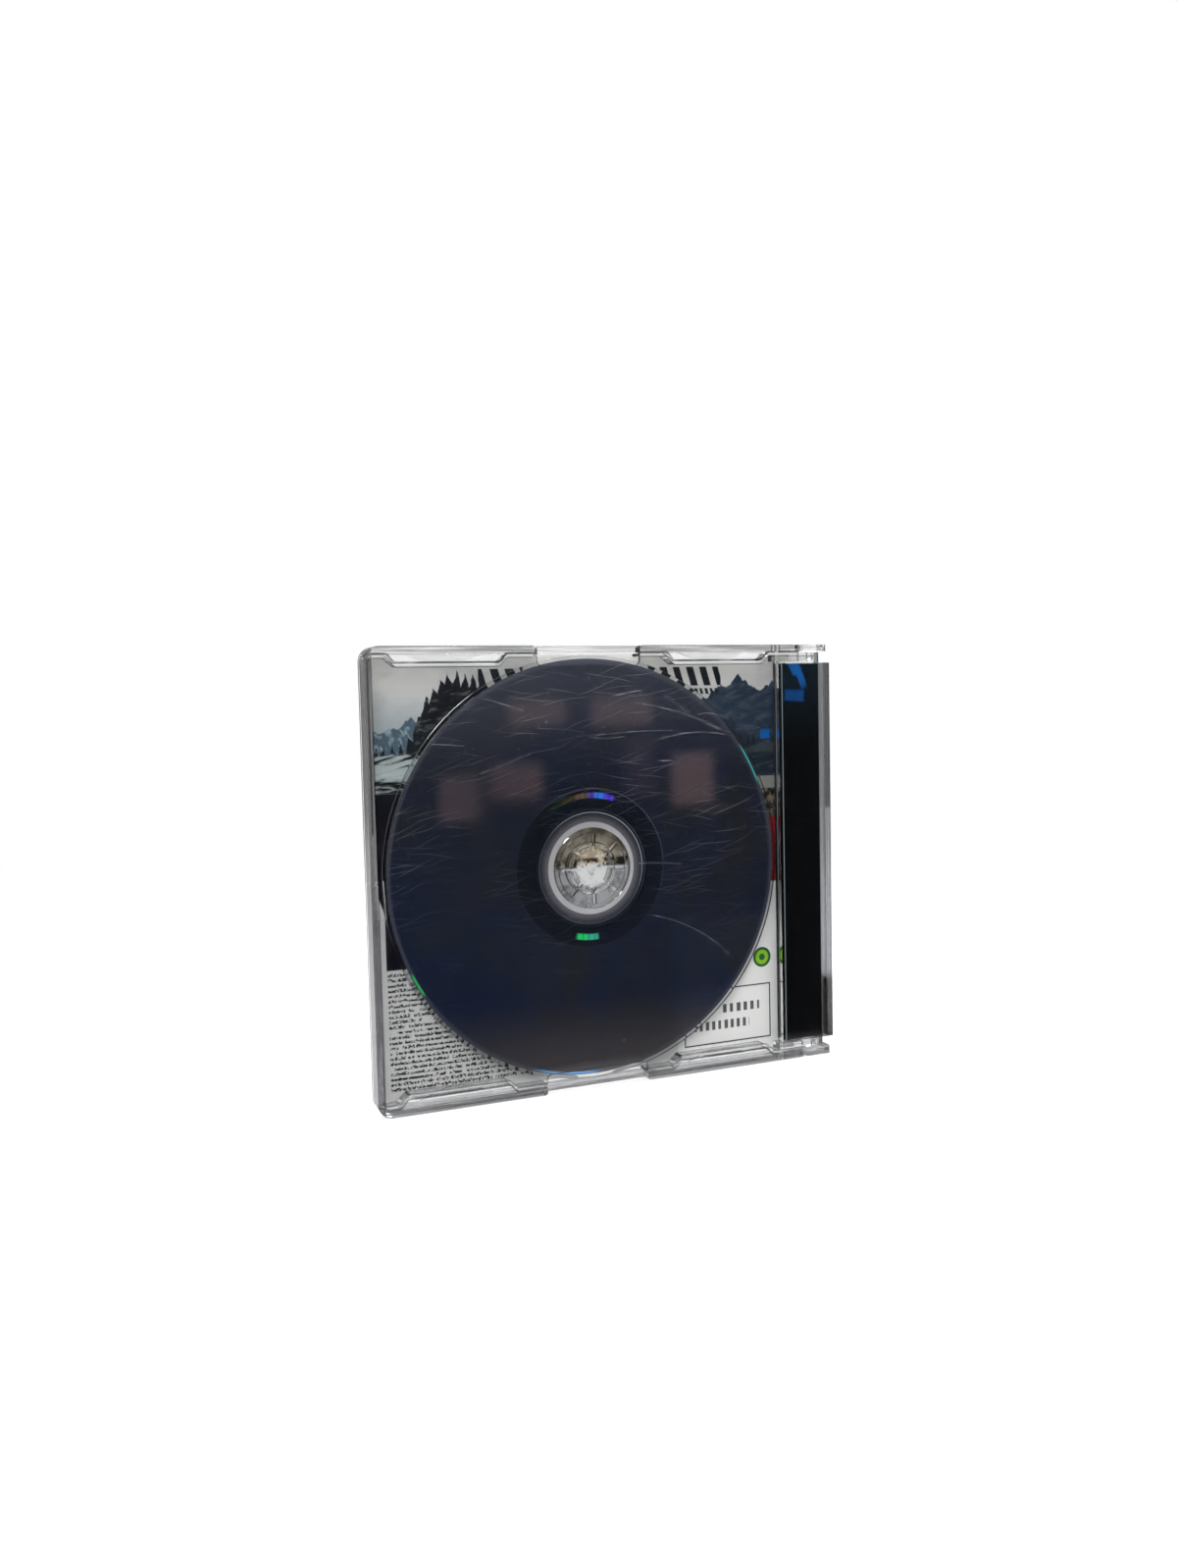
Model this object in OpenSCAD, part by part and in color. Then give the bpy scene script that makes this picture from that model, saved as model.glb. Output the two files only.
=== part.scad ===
// Slim clear case for one 120 mm game disc, closed and standing on its long edge, seen from its back.
// X runs along the case from the opening edge (-) to the hinge (+), Y from the back tray (-) to the
// front lid (+), and Z is up. The origin is the middle of the bottom edge.

/* [Case] */
// Length from the opening edge to the spine
case_l = 142; // [140:0.5:150]
// Height of the case as it stands
case_h = 125; // [125:0.5:132]
// Thickness of the closed case
case_d = 7; // [7:0.1:10]
// Thickness of the two big panels
panel_t = 1.2; // [0.9:0.1:1.3]
// Corner radius at the opening edge
corner_r = 4; // [1:0.5:6]
// Corner radius of the lid at the spine
spine_corner_r = 1.6; // [0.5:0.1:2]
// Thickness of the spine and of the wall along the opening edge
wall_t = 1.4; // [1:0.1:1.6]
// Thickness of the top and bottom rails of lid and tray
rail_t = 2; // [1.6:0.1:2.4]
// Clearance between lid and tray where they pass each other
part_gap = 0.3; // [0.2:0.05:0.4]

/* [Hinge] */
// Distance from the spine face to the pivot
pivot_inset = 5.2; // [4.8:0.1:6]
// Diameter of the two hinge pins
pin_d = 2; // [1.6:0.1:2.2]
// Length of a hinge pin
pin_l = 2.5; // [2:0.1:2.8]
// Radial clearance of the pin in its bore
pin_gap = 0.06; // [0.03:0.01:0.1]
// Radius of the knuckle round the bore
knuckle_r = 1.9; // [1.7:0.05:1.95]
// Width of a hinge arm along the pin
arm_w = 2.6; // [2.2:0.1:3]
// Clearance between the arms and the spine and strip
arm_gap = 0.5; // [0.3:0.1:1]

/* [Spine strip] */
// Width of the lid's back strip over the card's flap
strip_w = 16.9; // [15:0.1:17]
// Clearance between the strip and the step of the tray
strip_gap = 0.8; // [0.7:0.05:1.2]
// Corner radius of the strip's free corners
strip_corner_r = 1.2; // [0.4:0.1:2]

/* [Disc] */
// Diameter of the disc
disc_d = 120; // [118:0.5:120.5]
// Diameter of the centre hole
disc_hole_d = 15; // [14.8:0.1:15.4]
// Thickness of the disc
disc_t = 1.2; // [1.1:0.1:1.3]
// Bevel round the disc's rim
rim_bevel = 0.15; // [0.05:0.05:0.3]
// Mean diameter of the stacking ring on the data side
stack_ring_d = 34; // [33:0.5:36]
// Width of the stacking ring
stack_ring_w = 0.9; // [0.5:0.1:1.5]
// Height of the stacking ring
stack_ring_h = 0.2; // [0.1:0.05:0.3]
// Gap between the back panel and the disc
disc_lift = 1.3; // [1.2:0.1:1.4]
// Clearance between the disc's edge and the opening wall
disc_wall_gap = 2.1; // [1.5:0.1:3]

/* [Hub] */
// Number of snap fingers
finger_count = 8; // [6:1:10]
// Clearance between the fingers and the hole
finger_gap = 0.25; // [0.15:0.05:0.4]
// Wall thickness of a finger
finger_t = 1.2; // [0.9:0.1:1.4]
// Diameter of the open middle of the hub
hub_hole_d = 10.8; // [8:0.1:11]
// Height of the fingers above the disc
finger_rise = 1.1; // [0.9:0.1:1.3]
// Reach of the snap bead over the hole's edge
bead_reach = 0.25; // [0.1:0.05:0.3]
// Height of the bead's slope, under and over its rim
bead_rise = 0.4; // [0.2:0.05:0.45]
// Clearance between the disc and the bead
bead_gap = 0.1; // [0.05:0.05:0.2]
// Width of the slots between the fingers
slot_w = 1.1; // [0.8:0.1:1.4]
// Length of the slots from the open middle
slot_l = 4.6; // [4:0.1:4.8]
// Inner diameter of the ring that the disc rests on
seat_d = 20.4; // [20:0.1:21]
// Width of the seat ring
seat_w = 1.2; // [0.8:0.1:2]
// Clearance between the seat ring and the disc
seat_gap = 0.05; // [0.02:0.01:0.1]

/* [Finger notches] */
// Length of the notches that bare the disc's edge
notch_l = 31; // [24:0.5:34]
// Depth of the notches from the long edges
notch_d = 5.6; // [5:0.1:7]
// Corner radius inside the notches
notch_r = 1.5; // [0.5:0.1:2]
// Corner radius of the rails beside the notches
rail_end_r = 1; // [0.3:0.1:1.6]

/* [Card holders] */
// Distance from the disc's centre line to each holder
holder_x = 40.8; // [39:0.1:41]
// Length of a half-moon tab where it leaves the rail
tab_l = 22; // [18:0.5:22]
// Reach of a tab from the rail
tab_reach = 2.4; // [1.8:0.1:2.6]
// Thickness of a tab
tab_t = 0.75; // [0.6:0.05:0.8]
// Clearance between the tabs and the card
tab_gap = 0.25; // [0.15:0.05:0.3]
// Length of the tray's jog round a tab, at its foot
jog_l = 34; // [30:0.5:34]
// Run of the jog's sloping ends
jog_run = 3; // [1.5:0.1:4]
// Thickness of the tray's inner wall
inner_t = 0.8; // [0.6:0.05:1]

/* [Inlay card] */
// Thickness of the card
card_t = 0.25; // [0.2:0.01:0.3]
// Clearance between the card and the lid
card_gap = 0.05; // [0.03:0.01:0.1]
// Clearance round the card's edges
card_edge_gap = 0.6; // [0.4:0.1:0.8]
// Distance from the lid's opening edge to the card
card_inset = 3; // [2:0.1:4]
// Clearance between the flap and the spine's two ends
flap_end_gap = 0.2; // [0.1:0.1:1]
// Reach of the flap past the strip's free edge
flap_reach = 0.3; // [0:0.05:0.4]
// Slack between the card's fold and the spine
fold_slack = 2; // [0:0.1:2.5]

/* [Opening edge] */
// Radius of the closing pip on the opening wall
pip_r = 0.85; // [0.4:0.05:1]
// Reach of the pull ledge below the pip's centre
ledge_l = 9.5; // [6:0.5:14]
// Reach of the pull ledge above the pip's centre
ledge_rise = 1; // [0.5:0.1:2]
// Width of the pull ledge at its upper end
ledge_top_w = 3.5; // [2:0.1:4]
// Width of the pull ledge at its foot
ledge_foot_w = 4.1; // [2:0.1:5]
// Corner radius of the inner wall's jogs
jog_r = 0.9; // [0.3:0.1:1.5]

/* [Hidden] */
$fn = 96;
// Cutting tools reach this far past the solid that they cut
over = 1;

x_open = -case_l / 2;
x_spine = case_l / 2;
y_back = -case_d / 2;
y_front = case_d / 2;
z_mid = case_h / 2;
y_tray = y_back + panel_t;
y_lid = y_front - panel_t;
rail_split = y_back + case_d / 2 - part_gap;

x_pivot = x_spine - pivot_inset;
ear_r = pivot_inset;
x_rail_end = x_pivot - ear_r - part_gap;
z_arm = rail_t + part_gap;
z_arm_top = z_arm + arm_w;
z_spine = z_arm_top + arm_gap;

x_strip = x_spine - strip_w;
x_tray_end = x_strip - strip_gap;
x_step = x_tray_end - inner_t;

disc_r = disc_d / 2;
x_disc = x_open + wall_t + disc_wall_gap + disc_r;
y_disc = y_tray + disc_lift;
y_label = y_disc + disc_t;
crown_r = disc_hole_d / 2 - finger_gap;
bead_r = disc_hole_d / 2 + bead_reach;
crown_in = crown_r - finger_t;
y_crown = y_label + finger_rise;
y_bead = y_label + bead_gap;
// What stands on the back panel under the disc's edge ends here
y_shallow = y_disc - part_gap;

y_card = y_lid - card_gap - card_t;
y_inner = y_card - part_gap;
y_flap = y_tray + card_gap;
x_card_spine = x_spine - wall_t - card_gap - card_t - fold_slack;
x_card_neck = x_rail_end - over - part_gap;
z_card = rail_t + card_edge_gap;
z_flap = z_spine + flap_end_gap;
y_tab = y_card - tab_gap - tab_t;
z_jog = rail_t + tab_reach + part_gap;

// Stands a drawing of the front elevation up, from depth y0 to depth y1
module slab(y0, y1) {
    translate([0, y1, 0]) rotate([90, 0, 0]) linear_extrude(y1 - y0) children();
}

// Repeats what stands at the bottom edge at the top edge too
module both_edges() {
    children();
    translate([0, 0, case_h]) mirror([0, 0, 1]) children();
}

// A round bar along Y, centred at (x, z), from depth y0 to depth y1
module plug(x, z, r, y0, y1) {
    translate([x, y1, z]) rotate([90, 0, 0]) cylinder(h = y1 - y0, r = r);
}

// Elevation with its own corner radius at each end, 0 for square corners
module elevation(x0, x1, z0, z1, r0, r1) {
    difference() {
        translate([x0, z0]) square([x1 - x0, z1 - z0]);
        for (end = [[x0, r0, 1], [x1, r1, -1]])
            for (edge = [[z0, 1], [z1, -1]])
                if (end[1] > 0) corner_waste(end[0], edge[0], end[1], end[2], edge[1]);
    }
}

// What a rounded corner of radius r leaves over; sx and sz point into the shape
module corner_waste(x, z, r, sx, sz) {
    translate([x, z]) scale([sx, sz]) difference() {
        translate([-over, -over]) square(r + over);
        translate([r, r]) circle(r);
    }
}

// One finger notch, drawn on the elevation
module notch_outline() {
    x0 = x_disc - notch_l / 2;
    difference() {
        translate([x0, -over]) square([notch_l, notch_d + over]);
        for (side = [[x0, 1], [x0 + notch_l, -1]])
            corner_waste(side[0], notch_d, notch_r, side[1], -1);
    }
    for (side = [[x0, -1], [x0 + notch_l, 1]])
        corner_waste(side[0], 0, rail_end_r, side[1], 1);
}

// Back panel, with the notches and the hub's slots left out
module tray_panel() {
    slab(y_back, y_tray) difference() {
        elevation(x_open, x_tray_end, 0, case_h, corner_r, 0);
        for (flip = [0, 1])
            translate([0, flip * case_h]) mirror([0, flip]) notch_outline();
        translate([x_disc, z_mid]) circle(hub_hole_d / 2);
        hub_slots();
    }
}

// Radial slots with round ends that free the fingers
module hub_slots() {
    for (i = [0 : finger_count - 1])
        translate([x_disc, z_mid]) rotate(i * 360 / finger_count) {
            translate([hub_hole_d / 2 - over, -slot_w / 2]) square([slot_l + over - slot_w / 2, slot_w]);
            translate([hub_hole_d / 2 + slot_l - slot_w / 2, 0]) circle(slot_w / 2);
        }
}

// Crown of fingers with a snap bead, and the ring that the disc rests on
module hub() {
    difference() {
        translate([x_disc, 0, z_mid]) rotate([-90, 0, 0]) rotate_extrude()
            polygon([
                [crown_in, y_back], [crown_r, y_back], [crown_r, y_bead], [bead_r, y_bead + bead_rise],
                [bead_r, y_crown - bead_rise], [crown_r - finger_gap, y_crown], [crown_in, y_crown]
            ]);
        slab(y_back - over, y_crown + over) hub_slots();
    }
    translate([x_disc, 0, z_mid]) rotate([-90, 0, 0]) rotate_extrude()
        translate([seat_d / 2, y_tray - panel_t / 2])
            square([seat_w, panel_t / 2 + disc_lift - seat_gap]);
}

// Outer rail of the tray, flush with the case's long edge
module tray_rail() {
    slab(y_back, rail_split) difference() {
        intersection() {
            elevation(x_open, x_rail_end, 0, case_h, corner_r, rail_end_r);
            translate([x_open, 0]) square([case_l, rail_t]);
        }
        notch_outline();
    }
}

// Path of the inner wall's lower face over one holder, from left foot to right foot
function jog_path(x) = [
    [x - jog_l / 2, z_arm], [x - jog_l / 2 + jog_run, z_jog],
    [x + jog_l / 2 - jog_run, z_jog], [x + jog_l / 2, z_arm]
];

// Inner wall that stiffens the tray and steps round the lid's tabs
module tray_inner_wall() {
    path = concat(
        [[x_open + wall_t, z_arm]], jog_path(x_disc - holder_x), jog_path(x_disc + holder_x),
        [[x_rail_end, z_arm]]
    );
    slab(y_tray - panel_t / 2, y_inner) difference() {
        intersection() {
            softened() above(path);
            translate([x_open + wall_t / 2, 0]) square([x_rail_end - x_open - wall_t / 2, z_mid / 2]);
        }
        translate([0, inner_t]) softened() above(path);
        notch_outline();
    }
}

// Everything above a path, up to the middle of the case
module above(path) {
    last = len(path) - 1;
    far = [for (end = [path[last] + [case_l, 0], path[0] - [case_l, 0]]) end];
    polygon(concat(path, [far[0], [far[0][0], z_mid], [far[1][0], z_mid], far[1]]));
}

// Rounds the corners of a drawing, those that point out and those that point in
module softened() {
    offset(r = -jog_r, $fn = 32) offset(r = 2 * jog_r, $fn = 32) offset(r = -jog_r, $fn = 32) children();
}

// Foot of a hinge arm: the panel carried on past the strip, and the knuckle with its bore
module hinge_arm() {
    slab(y_back, y_tray)
        translate([x_tray_end - over, 0]) square([x_rail_end - x_tray_end + over, z_arm_top]);
    difference() {
        union() {
            translate([x_step, y_back, z_arm]) cube([x_rail_end - x_step, y_inner - y_back, arm_w]);
            translate([x_rail_end - over, -knuckle_r, z_arm])
                cube([x_pivot - x_rail_end + over, 2 * knuckle_r, arm_w]);
            translate([x_pivot, 0, z_arm]) cylinder(h = arm_w, r = knuckle_r);
        }
        translate([x_pivot, 0, z_arm - over]) cylinder(h = arm_w + 2 * over, r = pin_d / 2 + pin_gap);
    }
}

// Wall that follows the opening edge and its two corners, drawn on the elevation
module opening_wall_outline() {
    difference() {
        elevation(x_open, x_tray_end, 0, case_h, corner_r, 0);
        elevation(x_open + wall_t, x_tray_end + over, rail_t, case_h - rail_t, max(corner_r - wall_t, 0), 0);
    }
}

// Wall along the opening edge, with the closing pip and the pull ledge
module opening_wall() {
    slab(y_back, rail_split) intersection() {
        opening_wall_outline();
        translate([x_open, 0]) square([corner_r, case_h]);
    }
    slab(rail_split - over, y_inner) intersection() {
        opening_wall_outline();
        translate([x_open, z_arm]) square([wall_t, case_h - 2 * z_arm]);
    }
    plug(x_open + wall_t, z_mid, pip_r, y_tray - panel_t / 2, y_inner);
    slab(y_tray - panel_t / 2, y_shallow) polygon([
        [x_open + wall_t / 2, z_mid + ledge_rise],
        [x_open + ledge_top_w, z_mid + ledge_rise],
        [x_open + ledge_foot_w, z_mid - ledge_l],
        [x_open + wall_t / 2, z_mid - ledge_l]
    ]);
}

// Step along the lid's strip, between the two arms, shallow enough to clear the disc's edge
module tray_step() {
    translate([x_step, y_back, z_arm]) cube([inner_t, y_shallow - y_back, case_h - 2 * z_arm]);
}

// Back half of the case: panel, rails, hub, arms
module back_tray() {
    color([0.86, 0.87, 0.88, 0.45]) {
        tray_panel();
        hub();
        opening_wall();
        tray_step();
        both_edges() {
            tray_rail();
            tray_inner_wall();
            hinge_arm();
        }
    }
}

// Half-moon tab that holds the card against the lid, on the elevation
module tab_outline() {
    // Radius of the arc through the tab's two feet and its tip
    arc_r = (pow(tab_l / 2, 2) + pow(tab_reach, 2)) / (2 * tab_reach);
    intersection() {
        translate([0, rail_t + tab_reach - arc_r]) circle(arc_r);
        translate([-tab_l / 2, rail_t / 2]) square([tab_l, tab_reach + rail_t]);
    }
}

// Rail of the lid with its two tabs
module lid_rail() {
    slab(rail_split + part_gap, y_front) intersection() {
        elevation(x_open, x_spine, 0, case_h, corner_r, spine_corner_r);
        translate([x_open, 0]) square([case_l, rail_t]);
    }
    for (side = [-1, 1])
        slab(y_tab, y_tab + tab_t) translate([x_disc + side * holder_x, 0]) tab_outline();
}

// Ear at the hinge corner with the pin that stands in the tray's arm
module lid_ear() {
    intersection() {
        translate([x_pivot, 0, 0]) cylinder(h = rail_t, r = ear_r);
        translate([x_open, y_back, 0]) cube([case_l, case_d, rail_t]);
    }
    translate([x_pivot, 0, rail_t / 2]) cylinder(h = rail_t / 2 + pin_l, r = pin_d / 2);
}

// Spine wall and the strip that covers the card's flap
module lid_spine() {
    h = case_h - 2 * z_spine;
    translate([x_spine - wall_t, y_back, z_spine]) cube([wall_t, case_d, h]);
    slab(y_back, y_tray) elevation(x_strip, x_spine, z_spine, z_spine + h, strip_corner_r, 0);
}

// Front half of the case: panel, rails, spine, strip, ears
module front_lid() {
    color([0.88, 0.89, 0.90, 0.45]) {
        slab(y_lid, y_front) elevation(x_open, x_spine, 0, case_h, corner_r, spine_corner_r);
        lid_spine();
        both_edges() {
            lid_rail();
            lid_ear();
        }
    }
}

// Disc with its stacking ring, data side to the back
module game_disc() {
    r_ring = stack_ring_d / 2;
    color([0.10, 0.11, 0.17])
        translate([x_disc, 0, z_mid]) rotate([-90, 0, 0]) difference() {
            rotate_extrude() {
                polygon([
                    [disc_hole_d / 2 - over, y_disc],
                    [disc_r - rim_bevel, y_disc],
                    [disc_r, y_disc + rim_bevel],
                    [disc_r, y_label - rim_bevel],
                    [disc_r - rim_bevel, y_label],
                    [disc_hole_d / 2 - over, y_label]
                ]);
                translate([r_ring - stack_ring_w / 2, y_disc - stack_ring_h])
                    square([stack_ring_w, stack_ring_h + disc_t / 2]);
            }
            translate([0, 0, y_disc - over]) cylinder(h = disc_t + 2 * over, r = disc_hole_d / 2);
        }
}

// Folded card: front page under the lid, spine, and back flap under the strip
module inlay_card() {
    x_end = x_card_spine + card_t;
    flap_h = case_h - 2 * z_flap;
    color([0.80, 0.82, 0.80]) {
        slab(y_card, y_card + card_t) union() {
            translate([x_open + card_inset, z_card])
                square([x_card_neck - x_open - card_inset, case_h - 2 * z_card]);
            translate([x_card_neck - over, z_flap]) square([x_end - x_card_neck + over, flap_h]);
        }
        translate([x_card_spine, y_flap, z_flap]) cube([card_t, y_card + card_t - y_flap, flap_h]);
        translate([x_strip - flap_reach, y_flap, z_flap])
            cube([x_end - x_strip + flap_reach, card_t, flap_h]);
    }
}

back_tray();
front_lid();
game_disc();
inlay_card();
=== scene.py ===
"""Dresses a slim clear disc case: clear mouldings, a dark disc, a printed card and a pale studio."""

import math

import bmesh
import bpy
from bpy.props import FloatProperty, FloatVectorProperty, IntProperty, PointerProperty
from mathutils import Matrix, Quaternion, Vector


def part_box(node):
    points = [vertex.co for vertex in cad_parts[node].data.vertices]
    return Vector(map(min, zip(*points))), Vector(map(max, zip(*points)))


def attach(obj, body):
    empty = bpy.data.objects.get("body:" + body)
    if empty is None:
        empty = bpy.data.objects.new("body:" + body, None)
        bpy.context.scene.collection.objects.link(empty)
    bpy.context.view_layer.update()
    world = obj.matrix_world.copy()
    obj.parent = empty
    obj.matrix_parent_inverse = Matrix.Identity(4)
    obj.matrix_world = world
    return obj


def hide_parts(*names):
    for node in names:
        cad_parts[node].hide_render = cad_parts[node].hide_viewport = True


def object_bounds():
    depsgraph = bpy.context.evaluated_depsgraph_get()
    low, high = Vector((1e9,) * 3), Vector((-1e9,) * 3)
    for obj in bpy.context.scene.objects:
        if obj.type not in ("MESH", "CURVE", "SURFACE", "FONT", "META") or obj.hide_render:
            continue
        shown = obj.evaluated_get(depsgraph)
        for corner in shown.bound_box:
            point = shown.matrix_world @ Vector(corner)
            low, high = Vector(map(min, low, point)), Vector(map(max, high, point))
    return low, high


bl_info = {
    "name": "Slim disc case",
    "version": (1, 0, 0),
    "blender": (4, 5, 0),
    "location": "3D View > Sidebar > Disc case",
    "description": "Clear case, disc, printed card and studio for one slim disc case",
    "category": "Object",
}

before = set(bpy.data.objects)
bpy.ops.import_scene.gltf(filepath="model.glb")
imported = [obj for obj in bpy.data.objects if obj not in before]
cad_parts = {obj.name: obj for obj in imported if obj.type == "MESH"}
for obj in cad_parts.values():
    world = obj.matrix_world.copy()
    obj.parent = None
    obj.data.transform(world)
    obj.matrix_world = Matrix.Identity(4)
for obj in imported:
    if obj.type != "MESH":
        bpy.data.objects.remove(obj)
CAD_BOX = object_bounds()
# One millimetre, in metres
MM = 0.001
# Middle of the room's dim side, as a direction
NEAR_SIDE_AT = (0.40, -0.915, -0.03)
# Soft panels on that side: left, right, low and high as slopes from straight back, and strength
PANELS = (
    (0.350, 0.400, -0.016, 0.004, 0.60), (0.425, 0.482, -0.018, 0.006, 0.60),
    (0.288, 0.322, -0.094, -0.056, 0.50), (0.332, 0.378, -0.078, -0.048, 0.55),
    (0.500, 0.542, -0.090, -0.045, 0.80), (0.455, 0.485, -0.080, -0.030, 0.18),
    (0.525, 0.556, -0.100, -0.094, 0.30))
PHOTO_HEIGHT = 1598
SENSOR_MM = 36.0

DISC_LOW, DISC_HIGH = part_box("game_disc")
DISC_CENTRE = (DISC_LOW + DISC_HIGH) / 2
DISC_RADIUS = (DISC_HIGH.x - DISC_LOW.x) / 2
HOLE_RADIUS = 7.5 * MM
LABEL_Y = DISC_HIGH.y
# Stacking ring: radius of its middle, half its width, and its height
STACK_RING = 17.0 * MM
STACK_RING_HALF = 0.45 * MM
STACK_RING_HEIGHT = 0.2 * MM
DATA_Y = DISC_LOW.y + STACK_RING_HEIGHT

# From here on in millimetres, as the shaders measure
CARD_FRONT_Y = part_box("inlay_card")[1].y / MM
FACE_Y = CAD_BOX[1][1] / MM
# Depths under an outer face between which its marks fade out
SKIN = (0.03, 0.06)
CASE_MIDDLE = CAD_BOX[1][2] / MM / 2

# Centre line of the tray's inner wall in the elevation, measured from a long edge
WALL_FOOT = 2.7
JOG_CENTRES = (-48.3, 33.3)
JOG_HALF = 17.0
JOG_RUN = 3.0
JOG_RISE = 2.4
STEP_WALL_X = 52.9
# Edges painted with a faint glow, as if they caught the light: the end of the tray's panel, and the strip's
# edge beside it
PANEL_END = (52.12, 52.40)
STRIP_EDGE = (54.24, 54.54)
# Frosted hinge ends: rise along x, and fade away from the long edge
FROST_X = (61.5, 64.0)
FROST_DEPTH = (5.0, 5.6)

# Long scratches on the tray's outer face: middle x and z, turn, half length, bow, width
LONG_SCRATCHES = (
    (6.0, 100.0, 0.03, 15.0, 0.6, 0.10), (24.5, 98.0, 0.04, 13.0, 1.8, 0.16),
    (21.0, 104.0, -0.30, 17.0, 1.6, 0.13), (20.0, 108.0, -0.58, 6.0, 0.2, 0.09),
    (31.0, 103.5, -0.15, 6.5, 1.7, 0.11), (42.5, 100.5, 0.0, 5.0, 0.1, 0.14),
    (33.0, 101.0, -0.36, 5.0, -0.1, 0.09), (4.5, 111.5, 0.16, 5.0, 0.2, 0.22),
    (-2.0, 99.5, 0.0, 6.0, -0.5, 0.11), (16.0, 92.0, 0.0, 2.2, 0.0, 0.18),
    (-33.0, 109.0, -0.29, 7.5, 0.2, 0.12), (-49.0, 98.5, -0.08, 5.5, 0.2, 0.10),
    (-33.0, 93.0, 0.33, 9.5, -0.2, 0.10), (22.5, 40.0, -0.50, 17.5, 3.0, 0.09),
    (13.0, 62.5, -0.08, 8.5, 0.1, 0.10))
# Marker strokes, the same way, on the flap and on the page beside it
FLAP_STROKES = (
    (60.5, 116.0, -1.12, 5.2, 0.5, 2.2), (59.2, 118.3, -1.05, 2.6, 0.2, 3.3),
    (59.2, 109.9, -0.06, 3.9, 0.0, 3.4))
PAGE_STROKES = ((54.0, 101.0, -1.80, 2.8, 0.0, 1.3), (51.6, 98.6, 0.0, 2.2, 0.0, 2.8))
# Printed bars: ends along x, low, high, pitch, lean and tone
GREY_BAR = (0.10, 0.10, 0.105, 1)
DARK_BAR = (0.014, 0.016, 0.022, 1)
BAR_ROWS = (
    ((34.5, 48.0), 15.4, 18.0, 2.35, 0.0, GREY_BAR), ((26.0, 44.5), 10.6, 13.2, 2.1, 0.0, GREY_BAR),
    ((-38.5, -22.0), 113.4, 118.9, 4.3, 0.3, DARK_BAR), ((8.0, 36.5), 113.4, 118.9, 4.3, 0.3, DARK_BAR),
    ((22.0, 36.0), 110.9, 112.6, 1.7, 0.3, DARK_BAR))


class Net:
    """Adds and links the nodes of one tree."""

    def __init__(self, tree):
        self.tree = tree

    def put(self, socket, value):
        if isinstance(value, bpy.types.NodeSocket):
            self.tree.links.new(value, socket)
        else:
            socket.default_value = value

    def add(self, kind, inputs=None, **settings):
        node = self.tree.nodes.new(kind)
        for name, value in settings.items():
            setattr(node, name, value)
        for key, value in (inputs or {}).items():
            self.put(node.inputs[key], value)
        return node

    def math(self, operation, *values):
        return self.add("ShaderNodeMath", dict(enumerate(values)), operation=operation).outputs[0]

    def times(self, first, second):
        return self.math("MULTIPLY", first, second)

    def plus(self, first, second):
        return self.math("ADD", first, second)

    def minus(self, first, second):
        return self.math("SUBTRACT", first, second)

    def most(self, first, second):
        return self.math("MAXIMUM", first, second)

    def gap(self, first, second):
        """Distance between two values."""
        return self.math("ABSOLUTE", self.minus(first, second))

    def length(self, x, z):
        """Distance from the origin in the elevation."""
        return self.math("SQRT", self.plus(self.times(x, x), self.times(z, z)))

    def vector(self, x=0.0, y=0.0, z=0.0):
        return self.add("ShaderNodeCombineXYZ", {0: x, 1: y, 2: z}).outputs[0]

    def step(self, value, start, end, low=0.0, high=1.0):
        """Smooth change from low to high while value goes from start to end."""
        inputs = {"Value": value, 1: start, 2: end, 3: low, 4: high}
        return self.add("ShaderNodeMapRange", inputs, interpolation_type="SMOOTHSTEP").outputs[0]

    def fall(self, value, start, end):
        """The same from 1 to 0."""
        return self.step(value, start, end, 1.0, 0.0)

    def band(self, value, low, high, soft):
        rise = self.step(value, low - soft, low + soft)
        return self.times(rise, self.fall(value, high - soft, high + soft))

    def mix(self, factor, first, second):
        node = self.add("ShaderNodeMix", {0: factor, 6: first, 7: second}, data_type="RGBA")
        return node.outputs[2]

    def noise(self, vector, scale, detail=2.0, roughness=0.5, distortion=0.0):
        inputs = {"Vector": vector, "Scale": scale, "Detail": detail}
        inputs.update({"Roughness": roughness, "Distortion": distortion})
        return self.add("ShaderNodeTexNoise", inputs).outputs[0]

    def place(self, centre=(0, 0, 0)):
        """Object coordinates in millimetres, from centre, as a vector and its three parts."""
        point = self.add("ShaderNodeTexCoord").outputs["Object"]
        moved = self.add("ShaderNodeVectorMath", {0: point, 1: tuple(centre)}, operation="SUBTRACT")
        sized = self.add("ShaderNodeVectorMath", {0: moved.outputs[0], "Scale": 1 / MM}, operation="SCALE")
        parts = self.add("ShaderNodeSeparateXYZ", {0: sized.outputs[0]})
        return sized.outputs[0], parts.outputs[0], parts.outputs[1], parts.outputs[2]

    def stretch(self, vector, turn, along, across):
        """Turns the elevation by an angle about Y and squeezes it, for long thin marks."""
        turned = self.add("ShaderNodeMapping", {"Vector": vector, "Rotation": (0, turn, 0)})
        sizes = {0: turned.outputs[0], 1: (along, 1.0, across)}
        return self.add("ShaderNodeVectorMath", sizes, operation="MULTIPLY").outputs[0]


def rgb(colour):
    return (*colour[:3], 1.0)


def new_material(name):
    material = bpy.data.materials.new(name)
    material.use_nodes = True
    net = Net(material.node_tree)
    shader = material.node_tree.nodes["Principled BSDF"]
    return material, net, shader


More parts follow.
